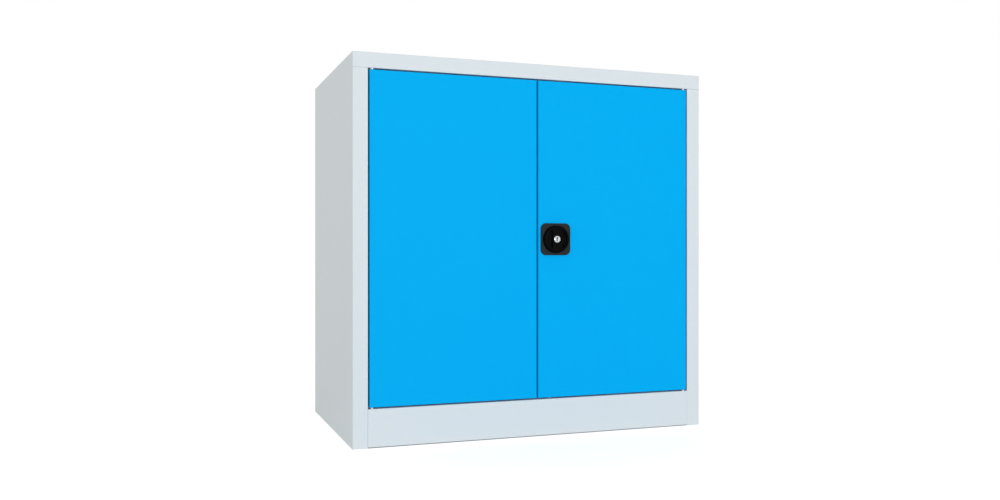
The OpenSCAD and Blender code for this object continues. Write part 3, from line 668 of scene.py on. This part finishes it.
@dataclass
class Knob:
    """Round turning knob with two finger wells beside a grip bar.

    The land is the flat between the wells' top and the rounded rim, and the margin is the
    radius that a well's corners keep where its floor closes.
    """

    radius: float = 37.5
    base: float = 3.9
    top: float = 13.3
    rim: float = 6.0
    land: float = 0.2
    hub: float = 11.0
    hub_end: float = -0.7
    well_radius: float = 29.5
    half_grip: float = 13.0
    well_depth: float = 7.4
    well_corner: float = 2.5
    well_margin: float = 0.1
    lip: float = 0.8
    root: float = 1.5
    base_round: float = 0.6
    hub_round: float = 0.3
    arc_steps: int = 40
    corner_steps: int = 10
    chord_steps: int = 12
    rim_steps: int = 10

    def spans(self) -> tuple[float, float]:
        """Where a well's arc meets its corners.

        Returns:
            Height of the corners' centres, and the angle of the arc's ends, in degrees.
        """
        across = self.half_grip + self.well_corner
        height = math.sqrt((self.well_radius - self.well_corner) ** 2 - across**2)
        return height, math.degrees(math.atan2(height, across))

    def well(self, offset: float) -> Array:
        """Outline of the right-hand well: a disc cut off by the grip bar, with rounded corners.

        It is an arc round the lock's axis, a corner arc, a straight run beside the bar and a
        corner arc. An offset adds to each radius and leaves each centre in place.

        Args:
            offset: distance outwards from the well's own wall.

        Returns:
            Points round the well, anticlockwise from its lower corner.
        """
        height, meet = self.spans()
        across = self.half_grip + self.well_corner
        small = self.well_corner + offset
        large = self.well_radius + offset
        arc = np.radians(np.linspace(-meet, meet, self.arc_steps + 1))
        turn = np.radians(np.linspace(meet, 180, self.corner_steps + 1))[1:]
        run = np.linspace(height, -height, self.chord_steps + 1)[1:]
        return np.concatenate([
            np.column_stack([large * np.cos(arc), large * np.sin(arc)]),
            np.column_stack([across + small * np.cos(turn), height + small * np.sin(turn)]),
            np.column_stack([np.full_like(run, self.half_grip - offset), run]),
            np.column_stack([across + small * np.cos(turn), -height - small * np.sin(turn)])[-2::-1],
        ])

    def half_disc(self, radius: float) -> Array:
        """Right-hand half of a disc, with one point opposite each point of the well's outline.

        Args:
            radius: radius of the disc.

        Returns:
            Points round the half disc.
        """
        _, meet = self.spans()
        arc = np.linspace(-meet, meet, self.arc_steps + 1)
        up = np.linspace(meet, 90, self.corner_steps + 1)[1:]
        run = np.linspace(radius, -radius, self.chord_steps + 1)[1:]
        round_part = np.radians(np.concatenate([arc, up]))
        below = np.radians(np.linspace(-90, -meet, self.corner_steps + 1)[1:-1])
        return np.concatenate([
            radius * np.column_stack([np.cos(round_part), np.sin(round_part)]),
            np.column_stack([0 * run, run]),
            radius * np.column_stack([np.cos(below), np.sin(below)]),
        ])

    def rim_angles(self) -> Array:
        """Angles of the rim's points, which match the flat top's.

        Returns:
            The angles, from the bottom anticlockwise, in radians.
        """
        _, meet = self.spans()
        right = np.concatenate([
            np.linspace(-90, -meet, self.corner_steps + 1)[:-1],
            np.linspace(-meet, meet, self.arc_steps + 1),
            np.linspace(meet, 90, self.corner_steps + 1)[1:],
        ])
        return np.radians(np.concatenate([right, (180 - right[::-1])[1:-1]]))

    def build(self) -> Piece:
        """Joins the revolved rim, two halves of the flat top and two wells into one body.

        Returns:
            The knob.
        """
        flat = self.radius - self.rim - self.land
        floor = self.top - self.well_depth
        inner = self.well_margin - self.well_corner
        wall = rounded(
            [(2 * self.lip, self.top), (0, self.top), (0, floor), (inner, floor)],
            {1: self.lip, 2: self.root},
        )
        rings = [level(self.half_disc(flat), self.top)]
        rings += [level(self.well(offset), height) for offset, height in wall]
        rings.append(shrunk(rings[-1]))
        half = np.stack(rings)
        shell = Shell("knob", (BLACK_NYLON,))
        for side in Side:
            shell.add(on_lock(half * (side.value, 1, 1)))
        profile = rounded(
            [
                (flat, self.top), (self.radius, self.top), (self.radius, self.base), (self.hub, self.base),
                (self.hub, self.hub_end), (0, self.hub_end),
            ],
            {1: self.rim, 2: self.base_round, 4: self.hub_round}, self.rim_steps,
        )
        t = self.rim_angles()
        r, h = profile[:, :1], profile[:, 1:]
        shell.add(on_lock(np.stack([r * np.cos(t), r * np.sin(t), h + 0 * t], axis=-1)))
        return shell.build("knob", "black_plastic", ["lock_knob"])


@dataclass
class KeyCylinder:
    """Cylinder in the knob and the plug that the key turns.

    The plug's flat is the ring inside its rounded edge, and the mouth is the band round the
    slot that rounds into it.
    """

    radius: float = 8.75
    seat: float = 3.9
    face: float = 13.8
    bore: float = 7.08
    bore_floor: float = 5.4
    plug_radius: float = 7.0
    plug_back: float = 5.7
    plug_face: float = 13.7
    slot_floor: float = 7.2
    plug_flat: float = 6.2
    half_slot: tuple[float, float] = (1.7, 5.4)
    slot_corner: float = 0.5
    mouth: float = 0.5
    mouth_round: float = 0.25
    edge_round: float = 0.2
    face_round: float = 0.4
    bore_round: float = 0.12
    columns: int = 80
    side_steps: int = 16
    end_steps: int = 6
    corner_steps: int = 6

    def housing(self) -> Piece:
        """Revolves the housing: a cup with a bevelled face.

        Returns:
            The cylinder's housing.
        """
        path = rounded(
            [
                (0, self.seat), (self.radius, self.seat), (self.radius, self.face), (self.bore, self.face),
                (self.bore, self.bore_floor), (0, self.bore_floor),
            ],
            {1: self.edge_round, 2: self.face_round, 3: self.bore_round},
        )
        shell = Shell("cylinder_housing", (NICKEL,))
        shell.add(on_lock(revolved(path, self.columns)))
        return shell.build("knob", "nickel", ["lock_cylinder"])

    def slot(self, offset: float) -> Array:
        """Outline of the key slot: a rounded rectangle moved outwards by an offset.

        Args:
            offset: distance outwards from the slot's own wall.

        Returns:
            Points round the slot, from its right-hand side, anticlockwise.
        """
        x, y = np.array(self.half_slot) - self.slot_corner
        reach = self.slot_corner + offset
        a = np.radians(np.linspace(0, 90, self.corner_steps + 1))
        rise = np.linspace(-y, y, self.side_steps + 1)[:-1]
        run = np.linspace(x, -x, self.end_steps + 1)[1:-1]
        half = np.concatenate([
            np.column_stack([np.full_like(rise, x + reach), rise]),
            np.column_stack([x + reach * np.cos(a), y + reach * np.sin(a)]),
            np.column_stack([run, np.full_like(run, y + reach)]),
            np.column_stack([-x - reach * np.sin(a), y + reach * np.cos(a)])[:-1],
        ])
        return np.concatenate([half, -half])

    def plug(self) -> Piece:
        """Carries rings from the plug's back over its face and down into the key slot.

        Returns:
            The key plug.
        """
        slot = self.slot(0)
        angle = np.arctan2(slot[:, 1] / self.half_slot[1], slot[:, 0] / self.half_slot[0])
        spoke = np.column_stack([np.cos(angle), np.sin(angle)])
        radius, top = self.plug_radius, self.plug_face
        skirt = rounded(
            [(radius, self.plug_back), (radius, top), (self.plug_flat, top)], {1: self.edge_round}
        )
        mouth = rounded([(self.mouth, top), (0, top), (0, self.slot_floor)], {1: self.mouth_round})
        face = [level(radius * spoke, height) for radius, height in skirt]
        keyway = [level(self.slot(offset), height) for offset, height in mouth]
        shell = Shell("plug", (NICKEL, KEYWAY_BRASS_PAINTED_SHADE))
        shell.add(on_lock(np.stack([shrunk(face[0]), *face, *keyway[:-1]])))
        # The slot's deep walls and floor take the keyway finish, whose dark brown is painted shade.
        shell.add(on_lock(np.stack([*keyway[-2:], shrunk(keyway[-1])])), 1)
        return shell.build("key", "nickel", ["key_plug"])

    def build(self) -> None:
        """Makes the housing and the plug."""
        self.housing()
        self.plug()


@dataclass
class LockingRod:
    """Drawn round rod that a rack on its inner end drives up or down.

    The depth is measured from the lock's place on the door's face to the rod's middle, the
    module, teeth, dedendum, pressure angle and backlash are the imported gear's, and the rack's
    end is the length by which it overlaps the rod.
    """

    end: End
    depth: float = 11.0
    radius: float = 5.0
    chamfer: float = 1.5
    chamfer_rounds: tuple[float, float] = (0.5, 0.8)
    columns: int = 56
    module: float = 1.5
    pinion_teeth: int = 14
    dedendum: float = 1.25
    pressure_angle: float = 25.0
    backlash: float = 0.2
    mesh_reach: float = 10.0
    pitch_to_rod: float = 2.5
    rack_flat: float = 0.5
    rack_end: float = 3.0
    half_rack: float = 4.5

    @property
    def pitch(self) -> float:
        """Distance from one tooth to the next: pi times the module."""
        return math.pi * self.module

    @property
    def pitch_line(self) -> float:
        """Distance of the pitch line from the lock's axis: the pinion's pitch radius."""
        return self.pinion_teeth * self.module / 2

    @property
    def rack_start(self) -> float:
        """How far before the lock's axis the round rod ends and the teeth begin."""
        return self.mesh_reach + self.pitch

    def teeth(self) -> tuple[Array, Array]:
        """Rack's toothed side as distances from the lock's axis at heights from it.

        Each tooth is a trapezium centred half a pitch above a multiple of the pitch. Its flanks
        lean by the pressure angle and pass half a tooth from the centre on the pitch line. The
        rack reaches past the axis by its start and the way that a quarter turn drives it.

        Returns:
            The heights, rising, and the distance at each of them.
        """
        low, high = -self.rack_start, self.rack_start + self.pitch_line * math.pi / 2
        tip, root = self.pitch_line - self.module, self.pitch_line + self.dedendum * self.module
        half_tooth = (self.pitch - self.backlash) / 4
        slope = math.tan(math.radians(self.pressure_angle))
        wide = half_tooth + (root - self.pitch_line) * slope
        narrow = half_tooth - (self.pitch_line - tip) * slope
        centre = (np.arange(math.ceil(low / self.pitch), math.floor(high / self.pitch)) + 0.5) * self.pitch
        heights = (centre[:, None] + np.array([-wide, -narrow, narrow, wide])).ravel()
        distances = np.tile([root, tip, tip, root], len(centre))
        heights = np.concatenate([[low - self.rack_end], heights, [high]])
        return heights, np.concatenate([[root], distances, [root]])

    def build(self) -> Piece:
        """Revolves the rod and carries the rack's four-sided section along its toothed side.

        Returns:
            The rod with its rack.
        """
        end, way = self.end.name.lower(), self.end.value
        name = f"{end}_locking_rod"
        x, y, z = LOCK_AXIS
        across = self.pitch_line + self.pitch_to_rod
        tip = outer_end(name, self.end)
        length = abs(z - tip) - self.rack_start
        r, c = self.radius, self.chamfer
        path = rounded(
            [(0, 0), (r - c, 0), (r, c), (r, length), (0, length)],
            {1: self.chamfer_rounds[0], 2: self.chamfer_rounds[1]},
        )
        rod = revolved(path, self.columns)
        foot = (x - way * across, y + self.depth, tip)
        shell = Shell(name, (DRAWN_ZINC,))
        shell.add(placed(rod, foot, (1, 0, 0), (0, 1, 0), (0, 0, way)))
        heights, near = self.teeth()
        far = np.full_like(near, across + r - self.rack_flat)
        front, back = self.half_rack - self.depth, -self.half_rack - self.depth
        section = np.stack([
            np.column_stack([-way * side, way * heights, np.full_like(near, out)])
            for side, out in ((near, front), (far, front), (far, back), (near, back))
        ], axis=1)
        rack = np.concatenate([shrunk(section[0])[None], section, shrunk(section[-1])[None]])
        shell.add(on_lock(rack))
        return shell.build(f"{end}_rod", "zinc_plated_steel", [name])


class RotaryLock:
    """The lock on the right-hand door, from its knob to the two rods."""

    def build(self) -> None:
        """Makes what shows outside and dresses the works inside the door."""
        Rosette().build()
        Knob().build()
        KeyCylinder().build()
        for end in End:
            LockingRod(end).build()
        dress(
            ZINC, "lock_case", "lock_cover", "lock_screws", "cover_screws", "lock_spindle",
            "drive_pinion", "latch_hook", "spindle_nut",
        )


# Studio


@dataclass(frozen=True)
class Lamp:
    """A square soft lamp: its place and side in metres, its power in watts and its sRGB colour."""

    name: str
    place: tuple[float, float, float]
    size: float
    power: float
    colour: str


@dataclass
class Studio:
    """Pale floor, soft lamps, white surroundings and the camera.

    The camera's heading is in degrees, and its lens and sensor are in millimetres.
    """

    floor_half: float = 30.0
    floor_colour: str = "#F8F8F8"
    floor_glow: float = 0.45
    patch_inset: float = 0.003
    sky: float = 0.62
    lit_point: tuple[float, float, float] = (0.0, 0.0, 0.5)
    lamps: tuple[Lamp, ...] = (
        Lamp("key_lamp", (0.8, -9.0, 1.25), 2.4, 262.0, "#FFFFFF"),
        Lamp("side_lamp", (-5.0, -1.0, 2.2), 3.0, 31.5, "#FFF2E0"),
    )
    eye: tuple[float, float, float] = (-0.957, -2.636, 0.5007)
    heading: float = -19.99
    lens: float = 33.80
    sensor: float = 36.0
    far_clip: float = 200.0

    def floor(self) -> Piece:
        """Lays the floor, which looks white to the camera and keeps the cabinet's shadow.

        It is a frame of four faces round the patch under the cabinet. The patch has no glow, so
        that it is dark where it shows through the rod's hole in the sill.

        Returns:
            The floor.
        """
        low = np.array(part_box("side_panel_left")[0])[:2]
        high = np.array(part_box("side_panel_right")[1])[:2]
        middle, half = (low + high) / 2, (high - low) / 2 - self.patch_inset
        square = np.array([(-1, -1), (1, -1), (1, 1), (-1, 1)])
        points = level(np.concatenate([square * self.floor_half, middle + square * half]), 0)
        faces = [(i, (i + 1) % 4, (i + 1) % 4 + 4, i + 4) for i in range(4)]
        mesh = bpy.data.meshes.new("floor")
        mesh.from_pydata(points.tolist(), [], [*faces, (4, 5, 6, 7)])
        mesh.polygons.foreach_set("material_index", [0, 0, 0, 0, 1])
        mesh.materials.append(self.floor_material("matt_white_floor", self.floor_glow))
        mesh.materials.append(self.floor_material("covered_floor", 0.0))
        floor = bpy.data.objects.new("floor", mesh)
        bpy.context.scene.collection.objects.link(floor)
        floor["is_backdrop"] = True
        return floor

    def floor_material(self, name: str, glow: float) -> bpy.types.Material:
        """Matt white floor with a little glow, which shows but lights nothing.

        Args:
            name: name of the material.
            glow: strength of the glow.

        Returns:
            The floor's material.
        """
        material = bpy.data.materials.new(name)
        material.use_nodes = True
        tree = material.node_tree
        tree.nodes.clear()
        seen = self.seen(tree)
        matt = add_node(tree, "ShaderNodeBsdfDiffuse", values={"Color": linear(self.floor_colour)})
        strength = add_node(
            tree, "ShaderNodeMath", {"operation": "MULTIPLY"}, values={1: glow}, links={0: seen}
        ).outputs[0]
        emission = add_node(
            tree, "ShaderNodeEmission", values={"Color": (1, 1, 1, 1)}, links={"Strength": strength}
        )
        both = add_node(
            tree, "ShaderNodeAddShader", links={0: matt.outputs["BSDF"], 1: emission.outputs["Emission"]}
        )
        add_node(tree, "ShaderNodeOutputMaterial", links={"Surface": both.outputs["Shader"]})
        return material

    def seen(self, tree: Tree) -> Socket:
        """One for rays from the camera, from gloss or through glass, and nothing for the light.

        Args:
            tree: node tree that gets the switch.

        Returns:
            The switch's socket.
        """
        rays = add_node(tree, "ShaderNodeLightPath")
        first = add_node(
            tree, "ShaderNodeMath", {"operation": "MAXIMUM"},
            links={0: rays.outputs["Is Camera Ray"], 1: rays.outputs["Is Glossy Ray"]},
        ).outputs[0]
        return add_node(
            tree, "ShaderNodeMath", {"operation": "MAXIMUM"},
            links={0: first, 1: rays.outputs["Is Transmission Ray"]},
        ).outputs[0]

    def surroundings(self) -> None:
        """Makes a world that looks white and lights at a plain level."""
        world = bpy.data.worlds.new("white_studio")
        bpy.context.scene.world = world
        world.use_nodes = True
        tree = world.node_tree
        tree.nodes.clear()
        strength = add_node(
            tree, "ShaderNodeMapRange", values={"To Min": self.sky, "To Max": 1.0},
            links={"Value": self.seen(tree)},
        ).outputs["Result"]
        back = add_node(
            tree, "ShaderNodeBackground", values={"Color": (1, 1, 1, 1)}, links={"Strength": strength}
        )
        add_node(tree, "ShaderNodeOutputWorld", links={"Surface": back.outputs["Background"]})

    def hang(self, lamp: Lamp) -> None:
        """Hangs one lamp so that it faces the cabinet's middle.

        Args:
            lamp: the lamp.
        """
        data = bpy.data.lights.new(lamp.name, "AREA")
        data.size = lamp.size
        data.energy = lamp.power
        data.color = linear(lamp.colour)[:3]
        light = bpy.data.objects.new(lamp.name, data)
        light.location = lamp.place
        aim = Vector(self.lit_point) - Vector(lamp.place)
        light.rotation_euler = aim.to_track_quat("-Z", "Y").to_euler()
        bpy.context.scene.collection.objects.link(light)

    def camera(self) -> None:
        """Stands the camera at the height of the cabinet's middle, level, to the left of it."""
        data = bpy.data.cameras.new("camera")
        data.lens = self.lens
        data.sensor_width = self.sensor
        data.clip_end = self.far_clip
        camera = bpy.data.objects.new("camera", data)
        camera.location = self.eye
        camera.rotation_euler = (math.radians(90), 0, math.radians(self.heading))
        bpy.context.scene.collection.objects.link(camera)
        bpy.context.scene.camera = camera

    def build(self) -> None:
        """Sets up the whole studio."""
        bpy.context.scene.view_settings.view_transform = "Standard"
        self.floor()
        self.surroundings()
        for lamp in self.lamps:
            self.hang(lamp)
        self.camera()


def corners() -> list[list[float]]:
    """Lowest and highest corner of the shown object, as plain lists."""
    return [list(corner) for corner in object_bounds()]


def main() -> None:
    """Dresses the cabinet piece by piece, sets up the studio and logs each part as it is done."""
    logging.basicConfig(level=logging.INFO, format="%(message)s")
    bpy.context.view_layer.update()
    for part in (
        Carcass(), Doors(), PivotPins(End.LOWER), PivotPins(End.UPPER), Buffers(), RotaryLock(), Studio(),
    ):
        part.build()
        LOG.info("%s is done", type(part).__name__)


if __name__ == "__main__":
    main()
